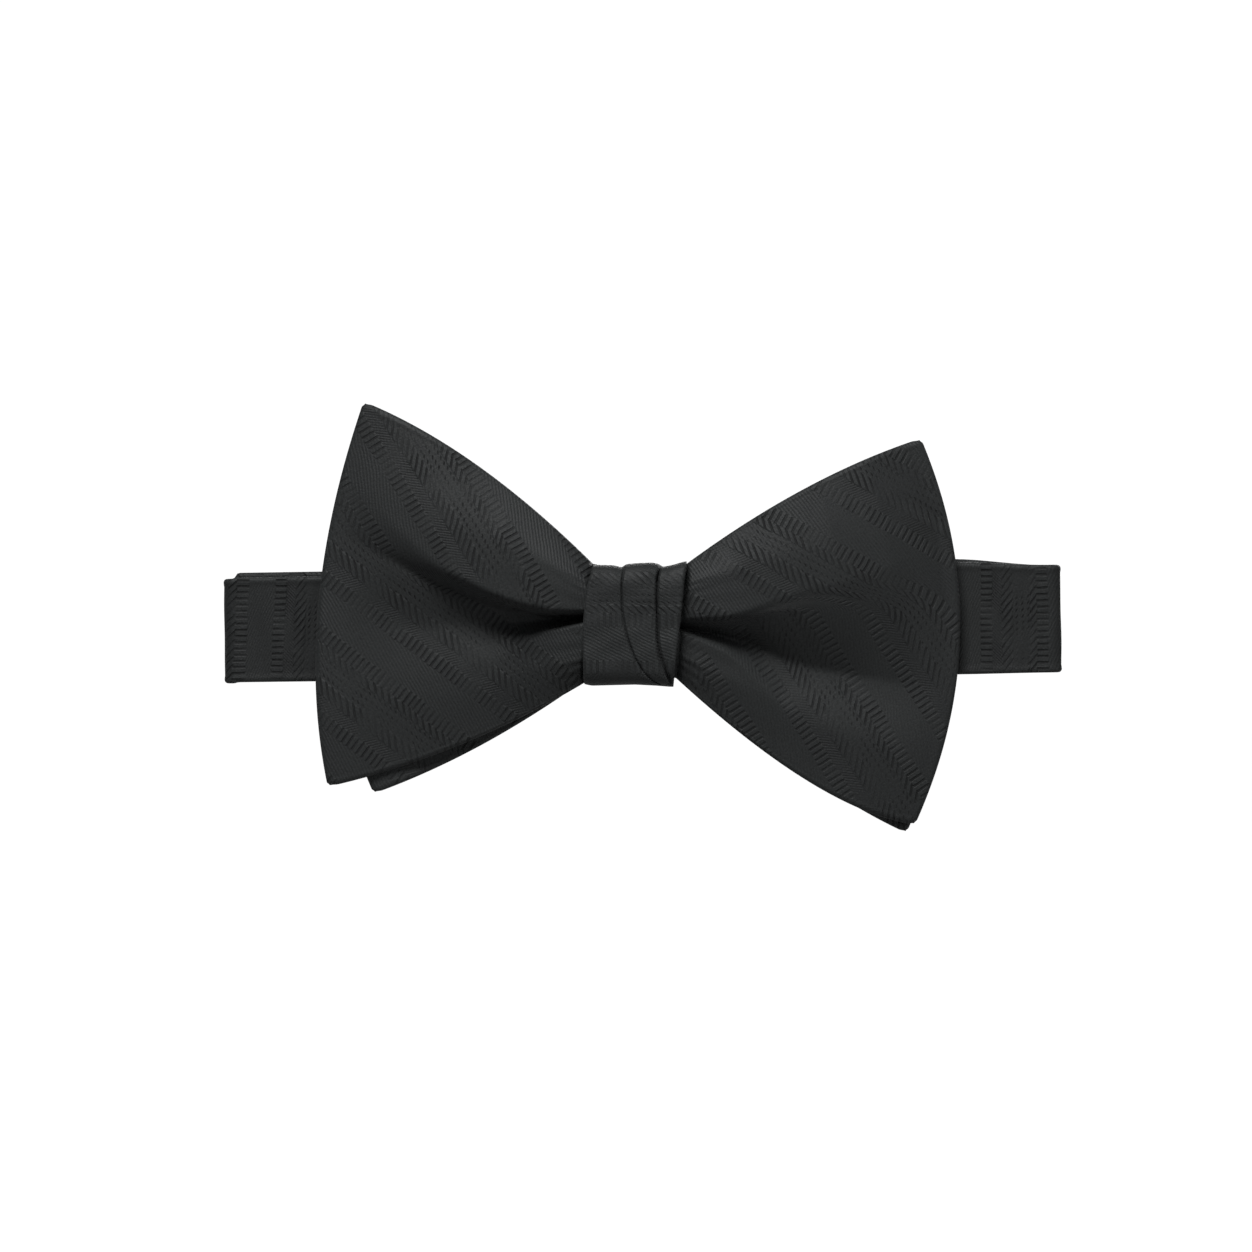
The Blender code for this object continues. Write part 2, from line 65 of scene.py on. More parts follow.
LOOP_RADIUS = 0.00135
BAND_RIM = 0.00014  # how far the rolled rims stand above the band's faces
BAND_RIM_RISE = (0.84, 0.93)  # where they rise, as shares of the half height
BAND_RIM_HIGHLIGHT = (0.90, 0.95)  # painted highlight: the cloth's colour is lighter beyond this, where it turns over
BAND_STEP = 0.0005  # between two sections of the band's mesh
BAND_ROWS = 40
BAND_SQUARE = 40  # how late the band's section rounds off towards its rims
RETURN_SHARE = 0.72  # the return layer's thickness, as a share of the band's
LEFT_FOLD_SAG = 0.0002
LEFT_STRIPE_LEAN = 0.055
LEFT_LADDER_X = -0.0660  # a ladder of rungs shows here on each end of the neckband
RIGHT_LADDER_X = 0.0651
SEAM_LAP = 0.0004  # how far the strap's second piece laps its first, where it starts to slide
SEAM_LIFT = 0.00003
LEFT_START_X = -0.0030  # both halves of the band start near the knot's middle, where the wrap hides them
RIGHT_START_X = LEFT_START_X + 0.0005
FOLD_REACH = 0.018  # how far from its right fold the band's height and rise change
BAND_STRIPES = 12  # whole stripes added, so that no place on the cloth is negative

# The cloth's stripe, across it: each zone is (width, kind), and the whole repeats after their sum
STRIPE_ZONES = (
    (0.0021, "ladder"), (0.0018, "fine"), (0.0020, "bold"), (0.0031, "dots"), (0.0013, "bold"),
    (0.0021, "ladder"), (0.0049, "plain"),
)  # fmt: skip
STRIPE_PERIOD = sum(width for width, _ in STRIPE_ZONES)
LADDER_MIDDLE = STRIPE_ZONES[0][0] / 2
SECOND_LADDER_MIDDLE = STRIPE_PERIOD - STRIPE_ZONES[6][0] - STRIPE_ZONES[5][0] / 2
ZONE_SOFTNESS = 0.00012
STITCH_PITCH = 0.00115  # from one rung or dot to the next, along the stripe
BOLD_PITCH = 0.00158
FINE_PITCH = 0.00060
DOT_ROWS = 0.00105  # from one row of dots to the next, across the stripe
TWILL_PITCH = 0.00052
BOLD_SLANT = 1.28
TWILL_SLANT = 0.38
# A mark's profile, from full to nothing, as shares of the way from its line to halfway to the next one
MARK_PROFILE = {"ladder": (0.22, 0.50), "bold": (0.20, 0.45), "fine": (0.20, 0.60), "dots": (0.20, 0.45)}
MARK_STRENGTH = {"ladder": 1.0, "bold": 1.15, "fine": 0.55, "dots": 1.2}
MARK_SHADE = 0.65  # how far the marks go towards the shade colour: partly their woven tone, partly painted shade in their grooves
NOISE_SCALE = {"drift": 90.0, "fade": 170.0, "grain": 3000.0, "cloud": 140.0}  # features in a metre
DRIFT = 0.0009  # how far the weave wanders to and fro
FADE_FLOOR = 0.20  # the faintest marks, as a share of the clearest
TWILL_FLOOR = 0.35  # the twill's strength under the marks, as a share of that on plain ground
SATIN_COLOUR = (0.0160, 0.0174, 0.0176, 1.0)
SATIN_SHADE = (0.0060, 0.0064, 0.0066, 1.0)  # the woven marks' darker colour, which also paints shade inside a mark's groove
# the lighter satin colour, reached by the weave's own tones and by painted highlights
SATIN_LIGHT = (0.0258, 0.0280, 0.0284, 1.0)
TONE_OF = {"grain": 0.72, "cloud": 0.15, "pads": 0.38, "twill": 0.32, "rim": 0.70}
HEIGHT_OF = {"grain": 0.40, "pads": 0.55, "dark": -0.45, "twill": 0.28}
SATIN_RELIEF = 0.00020
SATIN_ROUGHNESS = 0.60

# Wings
WING_COLUMNS = 110  # from the knot to the outer edge
WING_ROWS = 132
TUCK_COLUMNS = 10  # inside the knot
# Their outlines, as x and z of the inner ends, of the outer edge with its bend between its ends, and of the
# top and bottom edges' bends
OUTLINES = {
    ("front", "left"): {
        "inner": ((-0.0095, -0.01085), (-0.0078, 0.0112)),
        "outer": ((-0.0568, -0.0300), (-0.0636, 0.0024), (-0.0502, 0.0412)),
        "top_bend": (-0.0296, 0.0328),
        "bottom_bend": (-0.0326, -0.0246),
    },
    ("front", "right"): {
        "inner": ((0.0075, -0.0099), (0.0095, 0.0112)),
        "outer": ((0.0517, -0.0370), (0.0679, -0.0010), (0.0528, 0.0344)),
        "top_bend": (0.0312, 0.0272),
        "bottom_bend": (0.0344, -0.0346),
    },
    ("rear", "left"): {
        "inner": ((-0.0095, -0.0104), (-0.0080, 0.0100)),
        "outer": ((-0.0484, -0.0313), (-0.0630, 0.0020), (-0.0470, 0.0385)),
        "top_bend": (-0.0290, 0.0300),
        "bottom_bend": (-0.0290, -0.0244),
    },
    ("rear", "right"): {
        "inner": ((0.0078, -0.0098), (0.0092, 0.0104)),
        "outer": ((0.0502, -0.0386), (0.0664, -0.0010), (0.0517, 0.0340)),
        "top_bend": (0.0308, 0.0258),
        "bottom_bend": (0.0335, -0.0310),
    },
}
CORNER_ROUND = 0.028  # share of the wing that its round corners take up
WING_THICK = {"front": 0.0021, "rear": 0.0016}
WING_SETBACK = {"front": 0.0002, "rear": 0.0025}
EDGE_SINK = {"front": 0.00016, "rear": 0.0}  # how far the outer edge turns back
WING_SPACING = 1.15  # above 1, the columns stand closer together near the knot
ROW_SWEEP = math.pi / 2 * 0.93  # the rows stand closer together near the top and bottom edges
SIDE_SQUARE = 50  # how late the sleeve rounds off towards its top and bottom edges
END_SQUARE = 60  # the same, towards its outer edge
THINNEST = 0.02  # the sleeve's thickness at its edges, as a share of the full one
KNOT_MIDDLE_X = 0.0008  # the wings' inner ends stop this far from the knot's middle
KNOT_MIDDLE_Y = -0.0085
INNER_PULL = 0.25  # how far the inner ends are drawn towards that depth
INNER_NARROWING = 0.28
LINING_INSET = 0.05
LINING_THICK = 0.0006


def smooth(x, low, high):
    """0 below low, 1 above high, and smooth between."""
    t = np.clip((x - low) / (high - low), 0.0, 1.0)
    return t * t * (3 - 2 * t)


# --- materials


class Nodes:
    """A short way to build one material's node tree."""

    def __init__(self, name):
        self.material = bpy.data.materials.new(name)
        self.material.use_nodes = True
        self.tree = self.material.node_tree
        self.shader = self.tree.nodes["Principled BSDF"]

    def add(self, kind, **settings):
        node = self.tree.nodes.new(kind)
        for key, value in settings.items():
            setattr(node, key, value)
        return node

    def link(self, source, target):
        self.tree.links.new(source, target)

    def math(self, operation, *values):
        node = self.add("ShaderNodeMath", operation=operation)
        for socket, value in zip(node.inputs, values):
            if isinstance(value, (int, float)):
                socket.default_value = value
            else:
                self.link(value, socket)
        return node.outputs[0]

    def times(self, first, second):
        return self.math("MULTIPLY", first, second)

    def total(self, *parts):
        """The sum of its parts, of which the first is a socket."""
        whole = parts[0]
        for part in parts[1:]:
            whole = self.math("ADD", whole, part)
        return whole

    def ramp(self, value, low, high):
        """value as a share of the way from low to high, held inside 0 to 1."""
        node = self.add("ShaderNodeMapRange")
        self.link(value, node.inputs["Value"])
        node.inputs["From Min"].default_value = low
        node.inputs["From Max"].default_value = high
        return node.outputs["Result"]

    def noise(self, vector, scale, detail=3.0):
        node = self.add("ShaderNodeTexNoise")
        node.inputs["Scale"].default_value = scale
        node.inputs["Detail"].default_value = detail
        self.link(vector, node.inputs["Vector"])
        return node.outputs["Fac"]

    def mix(self, share, first, second):
        """A colour between two, each a colour or a socket."""
        node = self.add("ShaderNodeMix", data_type="RGBA")
        self.link(share, node.inputs["Factor"])
        # Sockets 6, 7 and 2 are a colour mix's A, B and Result
        for socket, value in ((node.inputs[6], first), (node.inputs[7], second)):
            if isinstance(value, tuple):
                socket.default_value = value
            else:
                self.link(value, socket)
        return node.outputs[2]

    def bump(self, height, strength, distance):
        node = self.add("ShaderNodeBump")
        node.inputs["Strength"].default_value = strength
        node.inputs["Distance"].default_value = distance
        self.link(height, node.inputs["Height"])
        self.link(node.outputs["Normal"], self.shader.inputs["Normal"])


def zone_weights(nodes, across):
    """How much each kind of zone holds at a place across the stripe."""
    place = nodes.math("FLOORED_MODULO", across, STRIPE_PERIOD)
    weights = {}
    start = 0.0
    for width, kind in STRIPE_ZONES:
        end = start + width
        rise = nodes.ramp(place, start - ZONE_SOFTNESS, start + ZONE_SOFTNESS)
        fall = nodes.ramp(place, end - ZONE_SOFTNESS, end + ZONE_SOFTNESS)
        inside = nodes.math("SUBTRACT", rise, fall)
        weights[kind] = nodes.total(weights[kind], inside) if kind in weights else inside
        start = end
    return weights


def rise_between(nodes, place, pitch):
    """0 on evenly spaced lines, rising to 1 halfway between them."""
    return nodes.math("DIVIDE", nodes.math("PINGPONG", place, pitch / 2), pitch / 2)


def grooves(nodes, place, pitch, narrow, wide):
    """1 on evenly spaced thin lines and 0 between them."""
    return nodes.math("SUBTRACT", 1.0, nodes.ramp(rise_between(nodes, place, pitch), narrow, wide))


def woven_marks(nodes, across, along):
    """The grooves of each kind of mark in the stripe: rungs, slanted strokes, a fine hatch and dots."""
    slanted = nodes.total(along, nodes.times(across, BOLD_SLANT))
    leaning = nodes.math("SUBTRACT", along, across)
    dot_lines = grooves(nodes, slanted, STITCH_PITCH, *MARK_PROFILE["dots"])
    dot_rows = grooves(nodes, across, DOT_ROWS, *MARK_PROFILE["dots"])
    return {
        "ladder": grooves(nodes, along, STITCH_PITCH, *MARK_PROFILE["ladder"]),
        "bold": grooves(nodes, slanted, BOLD_PITCH, *MARK_PROFILE["bold"]),
        "fine": grooves(nodes, leaning, FINE_PITCH, *MARK_PROFILE["fine"]),
        "dots": nodes.times(dot_lines, dot_rows),
    }


def satin_material(name, contrast, painted_light_shift):
    """Charcoal satin with a woven tone-on-tone stripe, in the cloth's own coordinates."""
    nodes = Nodes(name)
    cloth = nodes.add("ShaderNodeUVMap", uv_map="cloth").outputs["UV"]
    split = nodes.add("ShaderNodeSeparateXYZ")
    nodes.link(cloth, split.inputs[0])
    drift = nodes.math("SUBTRACT", nodes.noise(cloth, NOISE_SCALE["drift"]), 0.5)
    drift = nodes.times(drift, DRIFT)
    across = nodes.total(split.outputs["X"], drift)
    along = nodes.total(split.outputs["Y"], drift)
    weights = zone_weights(nodes, across)
    marks = woven_marks(nodes, across, along)

    # dark is inside the marks, and pads are the raised threads between the rungs and the strokes. Both are
    # partly the woven pattern's own tone and partly painted light: painted shade in the grooves, a painted
    # highlight on the pads
    fade = nodes.ramp(nodes.noise(cloth, NOISE_SCALE["fade"]), 0.38, 0.62)
    fade = nodes.total(nodes.times(fade, 1.0 - FADE_FLOOR), FADE_FLOOR)
    fade = nodes.times(fade, contrast)
    dark = nodes.total(*(
        nodes.times(nodes.times(mark, weights[kind]), MARK_STRENGTH[kind]) for kind, mark in marks.items()
    ))  # fmt: skip
    dark = nodes.times(dark, fade)
    pads = nodes.total(*(
        nodes.times(nodes.math("SUBTRACT", 1.0, marks[kind]), weights[kind]) for kind in ("ladder", "bold")
    ))  # fmt: skip
    pads = nodes.times(pads, fade)
    twilled = nodes.total(across, nodes.times(along, TWILL_SLANT))
    twill_share = nodes.total(nodes.times(weights["plain"], 1.0 - TWILL_FLOOR), TWILL_FLOOR)
    twill = nodes.times(rise_between(nodes, twilled, TWILL_PITCH), twill_share)
    grain = nodes.noise(cloth, NOISE_SCALE["grain"], 2.0)
    cloud = nodes.noise(cloth, NOISE_SCALE["cloud"])
    # painted highlight: the rim attribute lightens the colour where the cloth turns over at an edge
    rim = nodes.add("ShaderNodeAttribute", attribute_name="rim").outputs["Fac"]

    tone = nodes.total(
        nodes.times(nodes.ramp(grain, 0.36, 0.64), TONE_OF["grain"]),
        nodes.times(nodes.ramp(cloud, 0.3, 0.7), TONE_OF["cloud"]),
        nodes.times(pads, TONE_OF["pads"]),
        nodes.times(twill, TONE_OF["twill"]),
        # painted light shift: lifts or lowers the colour all over; the neckband's large negative one is
        # painted shade
        painted_light_shift,
        # painted highlight on the turned-over rims
        nodes.times(rim, TONE_OF["rim"]),
    )
    colour = nodes.mix(tone, SATIN_COLOUR, SATIN_LIGHT)
    colour = nodes.mix(nodes.times(dark, MARK_SHADE), colour, SATIN_SHADE)
    nodes.link(colour, nodes.shader.inputs["Base Color"])
    height = nodes.total(
        nodes.times(grain, HEIGHT_OF["grain"]),
        nodes.times(pads, HEIGHT_OF["pads"]),
        nodes.times(dark, HEIGHT_OF["dark"]),
        nodes.times(twill, HEIGHT_OF["twill"]),
    )
    nodes.bump(height, 1.0, SATIN_RELIEF)
    roughness = nodes.math("ADD", SATIN_ROUGHNESS, nodes.times(dark, 0.20))
    nodes.link(roughness, nodes.shader.inputs["Roughness"])
    nodes.shader.inputs["Specular IOR Level"].default_value = 0.30
    nodes.shader.inputs["Sheen Weight"].default_value = 0.05
    nodes.shader.inputs["Sheen Roughness"].default_value = 0.45
    return nodes.material


def lining_material():
    """Matt undyed interlining, a warm grey, with short felted fibres."""
    nodes = Nodes("felted_interlining")
    place = nodes.add("ShaderNodeTexCoord").outputs["Object"]
    fibre = nodes.noise(place, 1800.0, 4.0)
    colour = nodes.mix(fibre, (0.26, 0.25, 0.23, 1.0), (0.42, 0.41, 0.38, 1.0))
    nodes.link(colour, nodes.shader.inputs["Base Color"])
    nodes.bump(fibre, 0.5, 0.0002)
    nodes.shader.inputs["Roughness"].default_value = 0.95
    return nodes.material


def thread_material():
    """Twisted black sewing thread."""
    nodes = Nodes("twisted_thread")
    place = nodes.add("ShaderNodeTexCoord").outputs["Object"]
    twist = nodes.add("ShaderNodeTexWave", wave_type="BANDS", bands_direction="DIAGONAL")
    twist.inputs["Scale"].default_value = 900.0
    nodes.link(place, twist.inputs["Vector"])
    colour = nodes.mix(twist.outputs["Fac"], (0.008, 0.008, 0.009, 1.0), (0.022, 0.023, 0.024, 1.0))
    nodes.link(colour, nodes.shader.inputs["Base Color"])
    nodes.bump(twist.outputs["Fac"], 0.4, 0.0001)
    nodes.shader.inputs["Roughness"].default_value = 0.55
    return nodes.material


def metal_material():
    """Blackened steel, brushed up and down, with brighter worn spots."""
    nodes = Nodes("blackened_steel")
    place = nodes.add("ShaderNodeTexCoord").outputs["Object"]
    stretch = nodes.add("ShaderNodeMapping")
    stretch.inputs["Scale"].default_value = (900.0, 900.0, 60.0)
    nodes.link(place, stretch.inputs["Vector"])
    brushed = nodes.noise(stretch.outputs["Vector"], 1.0, 2.0)
    worn = nodes.ramp(nodes.noise(place, 420.0, 4.0), 0.55, 0.75)
    colour = nodes.mix(worn, (0.10, 0.10, 0.11, 1.0), (0.32, 0.32, 0.33, 1.0))
    nodes.link(colour, nodes.shader.inputs["Base Color"])
    roughness = nodes.math("ADD", 0.24, nodes.times(brushed, 0.22))
    nodes.link(roughness, nodes.shader.inputs["Roughness"])
    nodes.bump(brushed, 0.15, 0.00005)
    nodes.shader.inputs["Metallic"].default_value = 1.0
    return nodes.material


SATIN = satin_material("striped_satin", contrast=1.0, painted_light_shift=0.04)
KNOT_SATIN = satin_material("knot_satin", contrast=0.80, painted_light_shift=0.0)
# painted shade: the neckband's satin is darker all over, for the shadow the wings throw on it
SHADED_BAND_SATIN = satin_material("neckband_satin_painted_shade", contrast=1.15, painted_light_shift=-0.34)
LINING = lining_material()
THREAD = thread_material()
METAL = metal_material()


# --- mesh helpers


def add_mesh(name, points, faces, material, cloth=None, rim=None):
    """An object from points and faces.

    cloth gives each point its place on the flat cloth, in metres. rim is a painted highlight: 1 where the
    cloth turns over at an edge and its colour is painted lighter there, and 0 elsewhere.
    """
    mesh = bpy.data.meshes.new(name)
    mesh.from_pydata([tuple(map(float, point)) for point in points], [], faces)
    mesh.materials.append(material)
    if cloth is not None:
        layer = mesh.uv_layers.new(name="cloth")
        corner_points = np.empty(len(mesh.loops), int)
        mesh.loops.foreach_get("vertex_index", corner_points)
        layer.data.foreach_set("uv", np.asarray(cloth, float)[corner_points].ravel())
    bm = bmesh.new()
    bm.from_mesh(mesh)
    bmesh.ops.recalc_face_normals(bm, faces=bm.faces)
    bm.to_mesh(mesh)
    bm.free()
    if rim is not None:
        mesh.attributes.new("rim", "FLOAT", "POINT").data.foreach_set("value", np.asarray(rim, float))
    mesh.shade_smooth()
    obj = bpy.data.objects.new(name, mesh)
    bpy.context.scene.collection.objects.link(obj)
    return obj


def tube_faces(rings, ring_size, closed):
    """Quads between rings of points, numbered ring by ring, with both end rings filled unless closed."""
    faces = []
    for ring in range(rings - 1):
        for i in range(ring_size):
            j = (i + 1) % ring_size
            low, high = ring * ring_size, (ring + 1) * ring_size
            faces.append((low + i, low + j, high + j, high + i))
    if not closed:
        for low in (0, (rings - 1) * ring_size):
            for i in range(ring_size // 2 - 1):
                faces.append((low + i, low + i + 1, low + ring_size - 2 - i, low + ring_size - 1 - i))
    return faces


def path_normals(path):
    """The direction to the left of the path at each of its points."""
    along = np.gradient(path, axis=0)
    along /= np.linalg.norm(along, axis=1)[:, None]
    return np.column_stack((-along[:, 1], along[:, 0]))


def resampled(path, step):
    """The path with points at about even steps, and how far along it each one lies."""
    path = np.asarray(path, float)
    run = np.concatenate(([0.0], np.cumsum(np.linalg.norm(np.diff(path, axis=0), axis=1))))
    places = np.linspace(0, run[-1], max(int(run[-1] / step), 8))
    return np.column_stack([np.interp(places, run, path[:, i]) for i in range(2)]), places


def arc(centre, radius, first, last, steps=24):
    """Points on a circle from the angle first to the angle last, in degrees."""
    turned = np.radians(np.linspace(first, last, steps))
    return np.column_stack((centre[0] + radius * np.cos(turned), centre[1] + radius * np.sin(turned)))


def tilt(points):
    """Points of the neckband's frame, leaned as the band is."""
    c, s = math.cos(BAND_TILT), math.sin(BAND_TILT)
    points = np.asarray(points, float)
    x, y, z = points.T
    return np.column_stack((x * c - z * s, y, x * s + z * c))


# --- wings


def curve_point(points, t):
    """Points at t, an array, on the quadratic curve through two ends, pulled towards a bend."""
    first, bend, last = (np.array(point) for point in points)
    t = t[..., None]
    return first * (1 - t) ** 2 + bend * 2 * t * (1 - t) + last * t**2


def wing_place(outline, u, w):
    """x and z at the share u from the knot outwards and w from the bottom, -1, to the top, 1."""
    inner_low, inner_high = (np.array(point) for point in outline["inner"])
    outer = outline["outer"]
    v = (w + 1) / 2
    bottom = curve_point((inner_low, outline["bottom_bend"], outer[0]), u)
    top = curve_point((inner_high, outline["top_bend"], outer[2]), u)
    near = inner_low + (inner_high - inner_low) * v[..., None]
    far = curve_point(outer, v)
    u1, v1 = u[..., None], v[..., None]
    corners = (inner_low * (1 - v1) + inner_high * v1) * (1 - u1)
    corners = corners + (np.array(outer[0]) * (1 - v1) + np.array(outer[2]) * v1) * u1
    return bottom * (1 - v1) + top * v1 + near * (1 - u1) + far * u1 - corners


def crease_z(points, x):
    """The height of a crease that runs out from the knot, at each x."""
    xs, zs = zip(*sorted(points))
    return np.interp(x, xs, zs)


# Each wing's fold: its upper and lower crease, as x and z. Then, at OUT_STEPS from the knot outwards, how far
# the lobe above it and the lobe below it stand before the valley, and how softly they roll over into it.
# crown is how much the lobes fall away to the edges, and deepest the crease where the valley is deepest. A
# lobe's stripe is a place on one of its ladders of rungs, x and z, the ladder's angle in degrees, how many
# stripes the place lies from the first, and its shift along them.
OUT_STEPS = (0.0, 0.15, 0.35, 0.55, 0.75, 0.95)
FOLDS = {
    "left": {
        "upper": ((-0.0094, 0.0016), (-0.0155, 0.0016), (-0.0215, 0.0027), (-0.0274, 0.0045),
                  (-0.0333, 0.0069), (-0.0392, 0.0090), (-0.0451, 0.0121), (-0.0600, 0.0200)),
        "lower": ((-0.0094, 0.0010), (-0.0155, 0.0009), (-0.0215, 0.0004), (-0.0303, -0.0002),
                  (-0.0392, -0.0014), (-0.0600, -0.0010)),
        "upper_lift": (0.0064, 0.0064, 0.0060, 0.0048, 0.0026, 0.0),
        "lower_lift": (0.0056, 0.0032, 0.0012, 0.0007, 0.0003, 0.0),
        "upper_roll": (0.0010, 0.0012, 0.0018, 0.0030, 0.0070, 0.0120),
        "lower_roll": (0.0006, 0.0026, 0.0080, 0.0090, 0.0100, 0.0110),
        "crown": 1.60,
        "deepest": "upper",
        "upper_stripe": (-0.0414, 0.0223, 58.0, 0, 0.0),
        "lower_stripe": (-0.0514, 0.0040, 37.0, -1, 0.0075),
    },
    "right": {
        "upper": ((0.0087, 0.0001), (0.0164, 0.0001), (0.0205, 0.0010), (0.0252, 0.0025),
                  (0.0311, 0.0040), (0.0370, 0.0045), (0.0620, 0.0050)),
        "lower": ((0.0087, -0.0006), (0.0146, -0.0017), (0.0205, -0.0031), (0.0264, -0.0060),
                  (0.0323, -0.0079), (0.0382, -0.0090), (0.0620, -0.0130)),
        "upper_lift": (0.0062, 0.0068, 0.0074, 0.0074, 0.0052, 0.0),
        "lower_lift": (0.0058, 0.0042, 0.0022, 0.0017, 0.0012, 0.0),
        "upper_roll": (0.0010, 0.0014, 0.0020, 0.0030, 0.0060, 0.0100),
        "lower_roll": (0.0008, 0.0030, 0.0100, 0.0120, 0.0135, 0.0150),
        "crown": 1.10,
        "deepest": "lower",
        "upper_stripe": (0.0435, 0.0199, 29.0, 0, 0.0),
        "lower_stripe": (0.0237, -0.0080, 57.0, -2, 0.0080),
    },
}  # fmt: skip
VALLEY_FRONT_Y = {"knot": -0.0068, "edge": -0.0066}
VALLEY_SLOPE = 0.0020  # the floor of the left valley leans back this much towards its lower side
DENT = ((0.0470, 0.0246), (0.0580, 0.0182))  # a short soft crease near the right wing's upper corner
DENT_DEPTH = 0.00030
DENT_WIDTH = 0.0011
WING_RIM = 0.00014  # how far the rolled rims stand above the wings
WING_RIM_RISE = (0.955, 0.980)  # where the top and bottom rims rise, as shares of the half height
OUTER_RIM_RISE = (0.970, 0.985)  # where the outer rim rises, as shares of the way out from the knot
WING_RIM_HIGHLIGHT = (0.976, 0.986)  # where the cloth turns over at the top and bottom, and a painted highlight makes its colour lighter
OUTER_RIM_HIGHLIGHT = (0.985, 0.993)  # the same painted highlight at the outer edge
CROWN_FROM = 0.40  # share of the half height within which a lobe doesn't fall away
EDGE_FALL = 0.0009  # how far the wings fall back to their top and bottom edges
RAY_DEPTH = 0.00010  # soft rays fan out from the knot
PINCH_DEPTH = 0.00007  # small puckers stand right beside it
SWAY_DEPTH = 0.00055
CURL_DEPTH = 0.0006
GATHERED_LIFT = 0.0088  # inside the knot the fold closes up to this, where the binding thread holds it
KNOT_TUCK = {"left": 0.0012, "right": 0.0005}  # how far the wings sink where they go under the knot
CLOTH_STRETCH = 1.22  # the wings' and the knot's stripes are this much wider than the neckband's
WING_STRIPES = 8  # whole stripes added, so that no place on the cloth is negative
BACK_SHIFT = 0.037  # from the front of a wing to its back, across the cloth


def roll_over(distance, radius):
    """0 below an edge and 1 beyond it, rising steeply at first, like a rolled edge of that radius."""
    return np.sin(np.clip(distance / radius, 0.0, 1.0) * math.pi / 2) ** 0.8


def lobe_shares(fold, x, z, out):
    """The share of each lobe's lift that a point has, upper and lower, and how far the valley leans back."""
    high, low = crease_z(fold["upper"], x), crease_z(fold["lower"], x)
    upper_roll = np.interp(out, OUT_STEPS, fold["upper_roll"])
    lower_roll = np.interp(out, OUT_STEPS, fold["lower_roll"])
    if fold["deepest"] == "upper":
        above = roll_over(z - high, upper_roll)
        below = smooth(high - z, (high - low) * 0.75, high - low + lower_roll)
        lean_share = (1 - smooth(out, 0.65, 1.0)) * smooth(out, 0.1, 0.3)
        return above, below, VALLEY_SLOPE * smooth(high - z, 0.0, high - low) * lean_share
    climb = np.clip((z - low) / (high - low + upper_roll), 0.0, 1.0)
    above = (climb + np.sin(climb * math.pi / 2)) / 2
    return above, smooth(low - z, 0.0, lower_roll), 0.0


def wing_waves(w, out):
    """The small waves in a wing: rays and puckers by the knot, then a slow sway, and a curl at the end."""
    height = np.abs(w)
    fan = np.sin(w * 15.0 + 1.3) * 0.6 + np.sin(w * 27.0 + 0.4) * 0.4
    ray_share = smooth(out, 0.0, 0.03) * (1 - smooth(out, 0.08, 0.45)) * (1 - height**4)
    rays = fan * RAY_DEPTH * ray_share
    pinch = PINCH_DEPTH * np.sin(w * 46.0) * (1 - smooth(out, 0.03, 0.14)) * smooth(height, 0.35, 0.6)
    sway = SWAY_DEPTH * np.sin(w * 2.6 + 0.5) * smooth(out, 0.3, 1.0)
    curl = CURL_DEPTH * smooth(out, 0.86, 1.0) * np.cos(w * 1.4)
    return rays, pinch, sway, curl


def wing_front_y(side, x, z, u, w):
    """The front of a wing: an upper and a lower lobe, with the fold between them running out to nothing."""
    fold = FOLDS[side]
    out = np.clip(u, 0.0, 1.0)
    gather = (1 - out) ** 1.3
    above, below, lean = lobe_shares(fold, x, z, out)
    base = VALLEY_FRONT_Y["knot"] * gather + VALLEY_FRONT_Y["edge"] * (1 - gather) + lean
    lift = np.interp(out, OUT_STEPS, fold["upper_lift"]) * above
    lift = lift + np.interp(out, OUT_STEPS, fold["lower_lift"]) * below
    lift = lift + (GATHERED_LIFT - lift) * smooth(-u, 0.0, 0.45)
    height = np.abs(w)
    crown = np.cos(np.clip(height - CROWN_FROM, 0, 1) * fold["crown"])
    fall = EDGE_FALL * smooth(height, 0.55, 1.0) * (1 - 0.5 * out)
    front = sum(wing_waves(w, out), base - lift * crown + fall)
    front = front + KNOT_TUCK[side] * (1 - smooth(out, 0.0, 0.018))
    front = front - WING_RIM * np.maximum(smooth(height, *WING_RIM_RISE), smooth(out, *OUTER_RIM_RISE))
    if side == "right":
        front = front + dent_depth(x, z)
    return front


def dent_depth(x, z):
    """How far the cloth sinks at the short crease near the right wing's upper corner."""
    (x1, z1), (x2, z2) = DENT
    length = math.hypot(x2 - x1, z2 - z1)
    ax, az = (x2 - x1) / length, (z2 - z1) / length
    along = ((x - x1) * ax + (z - z1) * az) / length
    off = (z - z1) * ax - (x - x1) * az
    ends = smooth(along, 0.0, 0.3) * (1 - smooth(along, 0.8, 1.1))
    return DENT_DEPTH * np.exp(-((off / DENT_WIDTH) ** 2)) * ends


